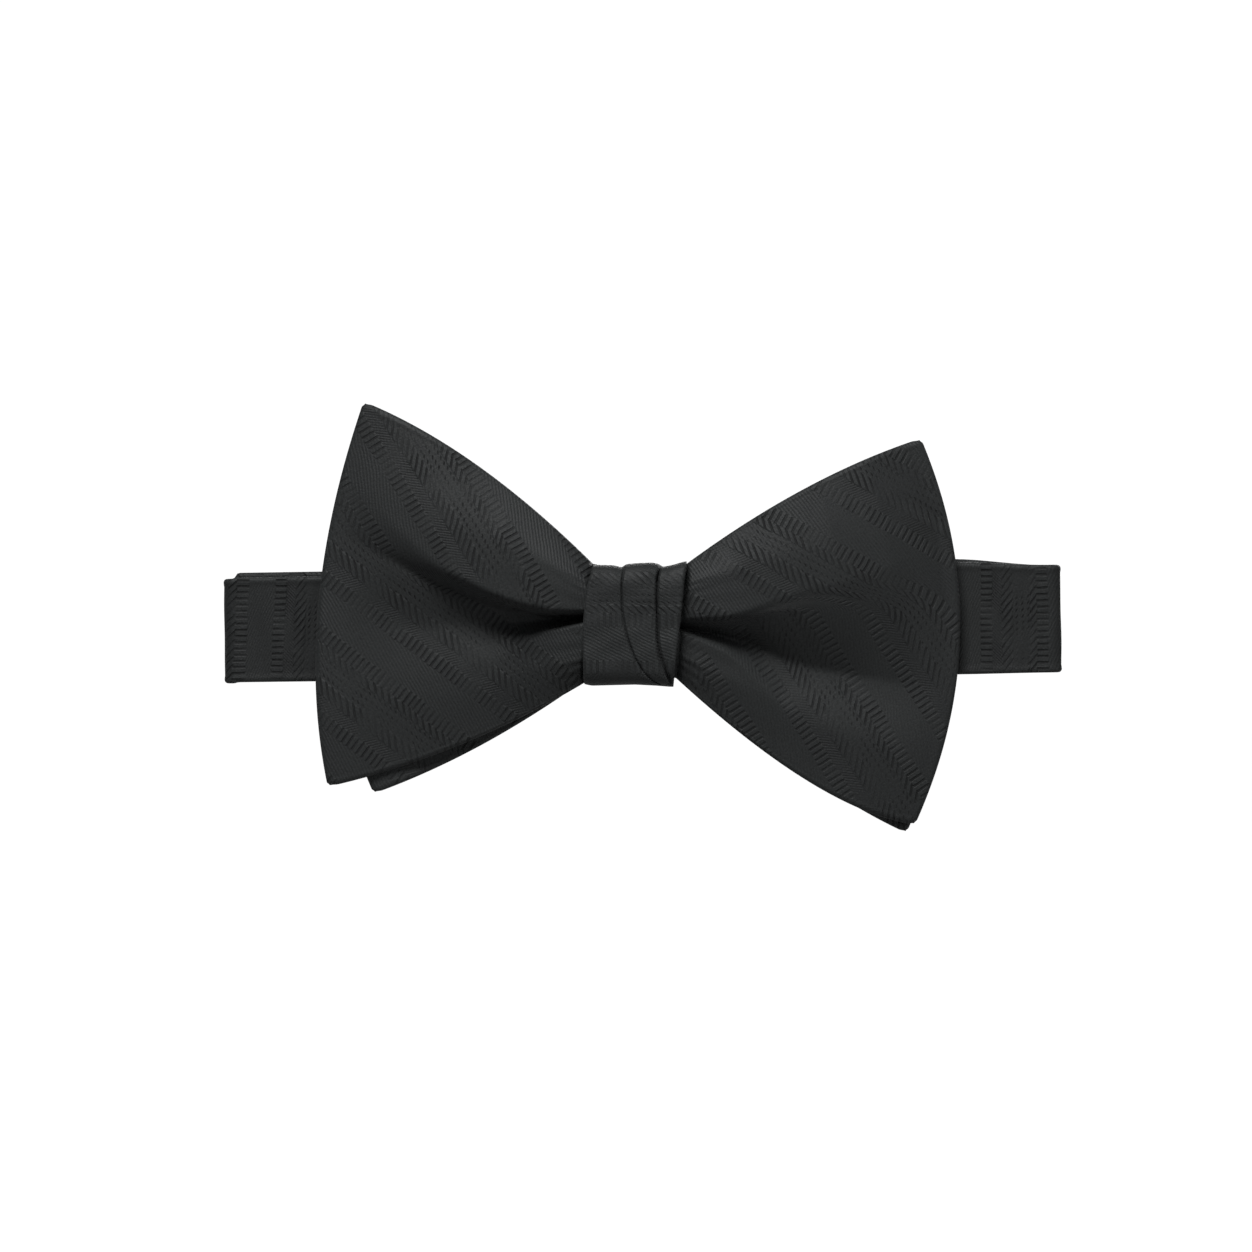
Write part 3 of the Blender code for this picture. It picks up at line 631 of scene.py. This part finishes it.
def stripe_place(side, x, z):
    """Where a point of a wing lies on the flat cloth: across the stripes, and along them.

    Each lobe has its own direction, from a place where a ladder of rungs runs, and the two flow together.
    """
    fold = FOLDS[side]
    outward = np.abs(x) / 0.06
    spread = 0.0006 + 0.0065 * outward**3
    share = smooth(z - crease_z(fold["upper"], x), -spread, spread)
    across, along = 0.0, 0.0
    for weight, lobe in ((share, "upper"), (1 - share, "lower")):
        ladder_x, ladder_z, angle, periods, shift = fold[lobe + "_stripe"]
        angle = math.radians(angle)
        px, pz = x - ladder_x, z - ladder_z
        place = (px * math.sin(angle) + pz * math.cos(angle)) / CLOTH_STRETCH
        across = across + weight * (place + periods * STRIPE_PERIOD)
        along = along + weight * (px * math.cos(angle) - pz * math.sin(angle) + shift)
    return across + LADDER_MIDDLE + STRIPE_PERIOD * WING_STRIPES, along + 0.2


def corner_rounded(u, w):
    """Draws the two outer corners in a little, so that they are round."""
    near_edge = smooth(u, 1 - CORNER_ROUND * 1.6, 1.0)
    near_tip = smooth(np.abs(w), 1 - CORNER_ROUND, 1.0)
    pull = near_edge * near_tip
    return u - pull * CORNER_ROUND * 0.30, w - np.sign(w) * pull * CORNER_ROUND * 0.22


def build_wing(name, layer, side, material, thick, inset=0.0):
    """A closed sleeve from inside the knot out to the wing's edge, rounded along its folds."""
    outline = OUTLINES[layer, side]
    sign = 1.0 if side == "right" else -1.0
    out = np.linspace(0.0, 1.0, WING_COLUMNS) ** WING_SPACING * (1 - inset)
    tuck = -np.linspace(1.0, 0.0, TUCK_COLUMNS, endpoint=False)
    rows = np.sin(np.linspace(-1, 1, WING_ROWS) * ROW_SWEEP) / math.sin(ROW_SWEEP)
    u, w = np.meshgrid(np.concatenate((tuck, out)), rows * (1 - inset), indexing="ij")
    place = wing_place(outline, *corner_rounded(np.clip(u, 0, 1), w))
    inside = np.clip(-u, 0, 1)
    x = place[..., 0] * (1 - inside) + sign * KNOT_MIDDLE_X * inside
    z = place[..., 1] * (1 - INNER_NARROWING * smooth(inside, 0.0, 0.8))
    front = wing_front_y(side, x, z, u, w)
    front = front * (1 - inside * INNER_PULL) + KNOT_MIDDLE_Y * inside * INNER_PULL
    edge_out = np.clip(u / (1 - inset), 0, 1)
    round_side = np.sqrt(np.clip(1 - np.abs(rows)[None, :] ** SIDE_SQUARE, 0, 1))
    round_end = np.sqrt(np.clip(1 - edge_out**END_SQUARE, 0, 1))
    half = thick / 2 * np.maximum(round_side * round_end, THINNEST)
    centre = front + WING_THICK[layer] / 2 + WING_SETBACK[layer]
    centre = centre + EDGE_SINK[layer] * smooth(edge_out, 0.96, 1.0)
    across, along = stripe_place(side, x, z)
    # painted highlight: the colour is lighter where the cloth turns over at the top, bottom and outer edges
    turned = np.maximum(smooth(np.abs(w), *WING_RIM_HIGHLIGHT), smooth(edge_out, *OUTER_RIM_HIGHLIGHT))
    turned = turned * smooth(edge_out, 0.1, 0.3)
    points, cloth, rim = [], [], []
    for i in range(u.shape[0]):
        points.append(np.column_stack((x[i], centre[i] - half[i], z[i])))
        points.append(np.column_stack((x[i], centre[i] + half[i], z[i]))[::-1])
        cloth.append(np.column_stack((across[i], along[i])))
        cloth.append(np.column_stack((across[i] + BACK_SHIFT, along[i]))[::-1])
        rim += [turned[i], turned[i][::-1]]
    faces = tube_faces(u.shape[0], 2 * WING_ROWS, False)
    obj = add_mesh(name, np.vstack(points), faces, material, np.vstack(cloth), np.concatenate(rim))
    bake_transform(obj)
    return obj


def build_wings():
    for side in ("left", "right"):
        for layer in ("front", "rear"):
            node = f"{layer}_wing_{side}"
            wing = build_wing(f"{node}_cloth", layer, side, SATIN, WING_THICK[layer])
            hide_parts(node, f"{layer}_bow_centre")
            lining = build_wing(f"{node}_lining", layer, side, LINING, LINING_THICK, LINING_INSET)
            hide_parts(f"{node}_interlining")


# --- knot

KNOT_HALF_HEIGHT = 0.0113
# Lines on the knot that run up it, as z and x
KNOT_LEFT_EDGE = (
    (-0.0125, -0.0090), (-0.0105, -0.0095), (-0.0014, -0.0097), (0.0062, -0.0091), (0.0115, -0.0076),
)  # fmt: skip
KNOT_RIGHT_EDGE = (
    (-0.0115, 0.0070), (-0.0069, 0.0074), (0.0005, 0.0083), (0.0080, 0.0090), (0.0115, 0.0095),
)  # fmt: skip
PLEAT_ONE = (
    (-0.0115, 0.0058), (-0.0103, 0.0029), (-0.0089, 0.0015), (-0.0063, -0.0001), (-0.0032, -0.0013),
    (-0.0008, -0.0019), (0.0025, -0.0025), (0.0072, -0.0026), (0.0110, -0.0022),
)  # fmt: skip
PLEAT_TWO = (
    (-0.0115, 0.0068), (-0.0105, 0.0062), (-0.0084, 0.0051), (-0.0060, 0.0044), (-0.0032, 0.0040),
    (0.0, 0.0039), (0.0039, 0.0038), (0.0086, 0.0039), (0.0110, 0.0046),
)  # fmt: skip
# Its top, and its bottom with the sign left out, as x and z
KNOT_TOP = (
    (-0.0076, 0.0110), (-0.0040, 0.0109), (-0.0023, 0.0105), (-0.0018, 0.0111), (0.0005, 0.0113),
    (0.0032, 0.0114), (0.0045, 0.0111), (0.0050, 0.0106), (0.0070, 0.0110), (0.0090, 0.0116),
)  # fmt: skip
KNOT_BOTTOM = ((-0.0094, 0.0110), (-0.0080, 0.0113), (0.0, 0.0111), (0.0040, 0.0113), (0.0064, 0.0115))
KNOT_COLUMNS = 210
KNOT_ROW = 0.00032  # between two rows of the wrap's front
KNOT_CORNER = 0.0011  # radius of the wrap's rear corners
KNOT_REAR_Y = 0.0001
KNOT_BACK_Y = -0.0040  # where the wrap's rounded front begins
KNOT_FRONT_Y = -0.0165
KNOT_BOXY = 0.27  # how square the wrap is, seen from its end: 1 would be an ellipse
KNOT_WALL = 0.0008
KNOT_LADDER_Z = 0.0006  # a ladder of rungs runs across the knot here
KNOT_STRIPES = 4  # whole stripes added, so that no place on the cloth is negative
KNOT_EDGE_ROUND = 0.0006
REAR_INSET = 0.065  # how much lower the wrap is behind, as a share
PLEAT_STEP = 0.00018  # a pleat's edge drops within this width
LINE_EASE = 0.0003


def at_height(points, z):
    """The line through the points, at each height z, with its corners eased."""
    zs, xs = zip(*points)
    return sum(np.interp(z + step, zs, xs) for step in (-LINE_EASE, 0.0, LINE_EASE)) / 3


def knot_section():
    """y, z, weight of the pleats, and length along the cloth, going round the knot from its back."""
    half = KNOT_HALF_HEIGHT
    angles = np.radians(np.linspace(90, -90, 4001))
    y = KNOT_BACK_Y + (KNOT_FRONT_Y - KNOT_BACK_Y) * np.abs(np.cos(angles)) ** KNOT_BOXY
    z = half * np.sign(np.sin(angles)) * np.abs(np.sin(angles)) ** KNOT_BOXY
    front, _ = resampled(np.column_stack((y, z)), KNOT_ROW)
    corner = np.radians(np.linspace(0, 90, 8))
    corner_y = KNOT_REAR_Y + KNOT_CORNER * np.sin(corner)
    corner_z = -half + KNOT_CORNER - KNOT_CORNER * np.cos(corner)
    low = np.column_stack((corner_y, corner_z))
    high = low[::-1] * np.array((1, -1))
    middle = np.column_stack((np.full(12, low[-1, 0]), np.linspace(low[-1, 1], high[0, 1], 14)[1:-1]))
    section = np.vstack((front, low, middle, high))
    bulge = (front[:, 0] - KNOT_BACK_Y) / (KNOT_FRONT_Y - KNOT_BACK_Y)
    weight = np.concatenate((smooth(bulge, 0.2, 0.95), np.zeros(len(section) - len(bulge))))
    steps = np.linalg.norm(np.diff(section, axis=0), axis=1)
    length = np.concatenate(([0.0], np.cumsum(steps)))
    flat = bulge > 0.9
    ladder = np.interp(-KNOT_LADDER_Z, -front[flat, 1], length[: len(front)][flat])
    return section, weight, length - ladder


def bell(distance, width):
    """1 at no distance, and falling off on both sides."""
    return np.exp(-((distance / width) ** 2))


def pleat_drop(x, edge, step, trench, width):
    """How far the wrap drops at a pleat's edge: a step, and a narrow trench under it."""
    return step * smooth(x, edge - PLEAT_STEP, edge) + trench * bell(x - edge - width * 0.5, width)


def pleat_relief(x, z):
    """How far the pleats sink below the wrap's front.

    Each of them swells towards its right edge and drops off it, and the last one rises again beyond it.
    """
    one, two = at_height(PLEAT_ONE, z), at_height(PLEAT_TWO, z)
    low_wide = 1 - smooth(z, -0.0095, -0.0020)
    drop = pleat_drop(x, one, 0.00015, 0.00070, 0.00016)
    drop = drop + pleat_drop(x, two, 0.00055, 0.00130, 0.00024 + 0.00016 * low_wide)
    drop = drop - 0.00045 * smooth(x, two + 0.0006, two + 0.0026)
    swell = 0.00025 * bell(x - two + 0.0018, 0.0018) + 0.00018 * bell(x - one + 0.0014, 0.0016)
    return drop - swell


def build_knot():
    """A closed wrap with three overlapping pleats in front."""
    section, weight, length = knot_section()
    share = np.linspace(0, 1, KNOT_COLUMNS)[:, None]
    y, z = section[None, :, 0], section[None, :, 1]
    left, right = at_height(KNOT_LEFT_EDGE, z), at_height(KNOT_RIGHT_EDGE, z)
    x = left + (right - left) * share
    edge = np.clip(np.minimum(x - left, right - x) / KNOT_EDGE_ROUND, 0, 1)
    rolled = KNOT_EDGE_ROUND * (1 - np.sqrt(np.clip(1 - (1 - edge) ** 2, 0, 1)))
    ripple = 0.00007 * np.sin(z * 700 + x * 260) + 0.00004 * np.sin(z * 1300 - x * 600)
    py = y + weight * (pleat_relief(x, z) + ripple + rolled)
    top, bottom = at_height(KNOT_TOP, x), at_height(KNOT_BOTTOM, x)
    in_front = 1 - smooth(y, KNOT_BACK_Y, -0.0010)
    height = z / KNOT_HALF_HEIGHT
    stretch_up = (top / KNOT_HALF_HEIGHT - 1) * smooth(height, 0.55, 1.0)
    stretch_down = (bottom / KNOT_HALF_HEIGHT - 1) * smooth(-height, 0.55, 1.0)
    rear_inset = REAR_INSET * (1 - in_front) * smooth(np.abs(height), 0.55, 1.0)
    pz = z * (1 + (stretch_up + stretch_down) * in_front - rear_inset)
    inner_y = py + KNOT_WALL * weight - KNOT_WALL * smooth(y, -0.0005, 0.0009)
    inner_z = pz * (1 - KNOT_WALL / KNOT_HALF_HEIGHT)
    across = STRIPE_PERIOD * KNOT_STRIPES + SECOND_LADDER_MIDDLE + length[None, :] / CLOTH_STRETCH
    across = np.broadcast_to(across, x.shape)
    cloth = np.stack((across, 0.1 - x), axis=-1)
    outer = np.stack((x, py, pz), axis=-1)
    inner = np.stack((x, inner_y, inner_z), axis=-1)
    rings = np.concatenate((outer, inner[::-1]), axis=0)
    cloth = np.concatenate((cloth, cloth[::-1]), axis=0)
    count, size = rings.shape[:2]
    faces = tube_faces(count, size, True)
    last = (count - 1) * size
    faces += [(last + i, last + (i + 1) % size, (i + 1) % size, i) for i in range(size)]
    obj = add_mesh("knot_cloth", rings.reshape(-1, 3), faces, KNOT_SATIN, cloth.reshape(-1, 2))
    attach(obj, "root")
    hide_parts("knot_wrap")


# --- neckband


def ribbon(name, path, height_at, rise_at, cloth_start, heading=1, lean=0.0, thick=BAND_THICK):
    """A soft folded strip along a path in x and y, and the path's length.

    cloth_start is the place across the stripes where the path starts. heading is -1 if it falls along the
    path, and lean is how much the stripes lean.
    """
    path, run = resampled(path, BAND_STEP)
    normals = path_normals(path)
    rows = np.sin(np.linspace(-1, 1, BAND_ROWS) * math.pi / 2)
    # painted highlight: the colour is lighter near the top and bottom, where the band turns over
    turned = np.tile(smooth(np.abs(rows), *BAND_RIM_HIGHLIGHT), 2 * len(path))
    rim = BAND_RIM * smooth(np.abs(rows), *BAND_RIM_RISE)
    shape = np.sqrt(np.clip(1 - np.abs(rows) ** BAND_SQUARE, 0.0004, 1))
    points, cloth = [], []
    for i, (place, normal) in enumerate(zip(path, normals)):
        half_height = height_at(place) / 2
        z = rise_at(place) + rows * half_height
        wave = place[0] + place[1]
        wrinkle = 0.00005 * np.sin(wave * 900 + rows * 2.2) + 0.00004 * np.sin(wave * 2300 - rows * 5)
        half = (thick / 2 + rim + wrinkle) * shape
        for side in (-1, 1):
            flat = place[None, :] + side * half[:, None] * normal[None, :]
            line = np.column_stack((flat, z))
            across = cloth_start + heading * run[i] - lean * z
            coordinates = np.column_stack((across, 0.1 - z))
            points.append(line if side < 0 else line[::-1])
            cloth.append(coordinates if side < 0 else coordinates[::-1])
    faces = tube_faces(len(path), 2 * BAND_ROWS, False)
    obj = add_mesh(name, tilt(np.vstack(points)), faces, SHADED_BAND_SATIN, np.vstack(cloth), turned)
    return obj, run[-1]


def level_y(level):
    """The middle of a layer of the neckband."""
    return (2 * level - 0.5) * BAND_THICK


def band_height(place):
    """The band is a little narrower at its left fold than at its right one."""
    return BAND_HEIGHT + 0.0001 + 0.0003 * place[0] / 0.08


def left_rise(place):
    """The left rear run lies higher than the front run, from just past the fold, which sags a little."""
    behind = float(smooth(place[1], level_y(0), level_y(1)))
    past_fold = float(smooth(place[0], LEFT_TURN_X - 0.0006, LEFT_TURN_X + 0.0004))
    sag = (1 - past_fold) * LEFT_FOLD_SAG
    return LEFT_REAR_RISE * behind * past_fold - sag


def right_rise(place):
    """The right end climbs a little as it leaves the fold, most of all its rear run."""
    away = float(smooth(RIGHT_TURN_X - place[0], 0.0, FOLD_REACH))
    behind = float(smooth(place[1], level_y(0), level_y(1)))
    return away * (0.0003 + 0.0006 * behind)


def right_height(place):
    """The right end is widest near the bow, and narrows to its fold."""
    return band_height(place) + 0.0009 * float(smooth(RIGHT_TURN_X - place[0], 0.0, FOLD_REACH))


def build_left_band():
    """The left half of the front run, its fold, the rear run, its turn round the hook's bar and its hem."""
    path = np.vstack((
        [(LEFT_START_X, level_y(0))],
        arc((LEFT_TURN_X, BAND_THICK / 2), BAND_THICK, 270, 90),
        arc((-CLASP_BAR_X, BAND_THICK * 2.5), BAND_THICK, -90, 90),
        [(-CLASP_BAR_X - HEM_LENGTH, level_y(2))],
    ))  # fmt: skip
    start = LEFT_START_X - LEFT_LADDER_X + LADDER_MIDDLE + STRIPE_PERIOD * BAND_STRIPES
    piece, length = ribbon("band_left_cloth", path, band_height, left_rise, start, -1, LEFT_STRIPE_LEAN)
    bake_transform(piece)
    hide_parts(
        "band_front", "band_interlining", "band_fold_left",
        "strap_left", "strap_left_turn", "strap_left_hem",
    )  # fmt: skip


def build_right_band():
    """The right half: its front run, fold and firm rear run, then the run that slides and its return."""
    path = np.vstack((
        [(RIGHT_START_X, level_y(0))],
        arc((RIGHT_TURN_X, BAND_THICK / 2), BAND_THICK, -90, 90),
        [(FIRM_END_X, level_y(1))],
    ))  # fmt: skip
    start = RIGHT_START_X - RIGHT_LADDER_X + LADDER_MIDDLE + STRIPE_PERIOD * BAND_STRIPES
    piece, length = ribbon("band_right_cloth", path, right_height, right_rise, start)
    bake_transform(piece)
    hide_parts("band_front", "band_fold_right", "strap_right")

    path = np.array([(FIRM_END_X + SEAM_LAP, level_y(1)), (CLASP_BAR_X + 0.0001, level_y(1))])
    start += length - SEAM_LAP
    thick = BAND_THICK + SEAM_LIFT
    piece, length = ribbon("strap_run_cloth", path, right_height, right_rise, start, thick=thick)
    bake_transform(piece)
    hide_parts("strap_right_run")

    tail_x = SLIDER_X - LOOP_RADIUS * 2.6
    path = np.vstack((
        arc((CLASP_BAR_X, BAND_THICK * 2.5), BAND_THICK, -90, -270),
        [(tail_x, level_y(2))],
        arc((SLIDER_X, LOOP_BAR_Y), LOOP_RADIUS, 215, 500, 30),
    ))  # fmt: skip
    start += length
    thick = BAND_THICK * RETURN_SHARE
    piece, length = ribbon("strap_return_cloth", path, right_height, right_rise, start, thick=thick)
    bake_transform(piece)
    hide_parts("strap_right_turn", "strap_return", "strap_end_loop")


def finish_cad_nodes():
    """The small pieces keep their CAD shape, and get their finish here."""
    for name, material in (
        ("knot_padding", LINING), ("binding_thread", THREAD), ("hem_stitches", THREAD),
        ("end_loop_stitches", THREAD), ("hook", METAL), ("eye", METAL), ("slider", METAL),
    ):  # fmt: skip
        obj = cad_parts[name]
        if not obj.material_slots:
            obj.data.materials.append(material)
        for slot in obj.material_slots:
            slot.material = material


# --- stage

CAMERA_PLACE = (-0.0017, -1.290, -0.0003)
CAMERA_LENS = 200.0
CAMERA_SENSOR = 36.0
BACKGROUND = 1.05  # how bright the studio's walls look to the camera
AMBIENT = 0.075  # how much light they give
FLOOR_Z = -0.11
FLOOR_HALF = 6.0
# Soft lights, all aimed at the origin: name, place, size, power
LIGHTS = (
    ("key", (-0.14, -0.54, 0.70), (0.34, 0.28), 7.0),
    ("fill", (0.72, -0.55, 0.15), (0.6, 0.6), 1.1),
    ("back", (0.2, 0.85, 0.22), (0.7, 0.5), 4.5),
)


def add_camera():
    camera = bpy.data.cameras.new("camera")
    camera.lens = CAMERA_LENS
    camera.sensor_width = CAMERA_SENSOR
    camera.clip_start = 0.01
    obj = bpy.data.objects.new("camera", camera)
    obj.location = CAMERA_PLACE
    obj.rotation_euler = (math.pi / 2, 0.0, 0.0)
    bpy.context.scene.collection.objects.link(obj)
    bpy.context.scene.camera = obj


def add_world():
    """Plain white to the camera, and a faint even light on everything else."""
    world = bpy.data.worlds.new("studio")
    bpy.context.scene.world = world
    world.use_nodes = True
    tree = world.node_tree
    tree.nodes.clear()
    output = tree.nodes.new("ShaderNodeOutputWorld")
    seen = tree.nodes.new("ShaderNodeBackground")
    seen.inputs["Color"].default_value = (1.0, 1.0, 1.0, 1.0)
    seen.inputs["Strength"].default_value = BACKGROUND
    lit = tree.nodes.new("ShaderNodeBackground")
    lit.inputs["Color"].default_value = (0.97, 0.99, 1.0, 1.0)
    lit.inputs["Strength"].default_value = AMBIENT
    path = tree.nodes.new("ShaderNodeLightPath")
    mix = tree.nodes.new("ShaderNodeMixShader")
    tree.links.new(path.outputs["Is Camera Ray"], mix.inputs["Fac"])
    tree.links.new(lit.outputs["Background"], mix.inputs[1])
    tree.links.new(seen.outputs["Background"], mix.inputs[2])
    tree.links.new(mix.outputs["Shader"], output.inputs["Surface"])


def add_floor():
    """A floor that looks as white as the background, and throws little light up."""
    nodes = Nodes("pale_floor")
    nodes.shader.inputs["Base Color"].default_value = (0.30, 0.30, 0.30, 1.0)
    nodes.shader.inputs["Roughness"].default_value = 0.9
    nodes.shader.inputs["Emission Color"].default_value = (1.0, 1.0, 1.0, 1.0)
    seen = nodes.add("ShaderNodeLightPath").outputs["Is Camera Ray"]
    nodes.link(seen, nodes.shader.inputs["Emission Strength"])
    signs = ((-1, -1), (1, -1), (1, 1), (-1, 1))
    points = [(x * FLOOR_HALF, y * FLOOR_HALF, FLOOR_Z) for x, y in signs]
    add_mesh("floor", points, [(0, 1, 2, 3)], nodes.material)


def add_lights():
    for name, place, size, power in LIGHTS:
        light = bpy.data.lights.new(name, "AREA")
        light.shape = "RECTANGLE"
        light.size, light.size_y = size
        light.energy = power
        obj = bpy.data.objects.new(name, light)
        obj.location = place
        obj.rotation_euler = (-Vector(place)).to_track_quat("-Z", "Y").to_euler()
        bpy.context.scene.collection.objects.link(obj)


def build_stage():
    bpy.context.scene.view_settings.view_transform = "Standard"
    add_camera()
    add_world()
    add_floor()
    add_lights()


build_stage()
build_knot()
build_left_band()
build_right_band()
build_wings()
finish_cad_nodes()
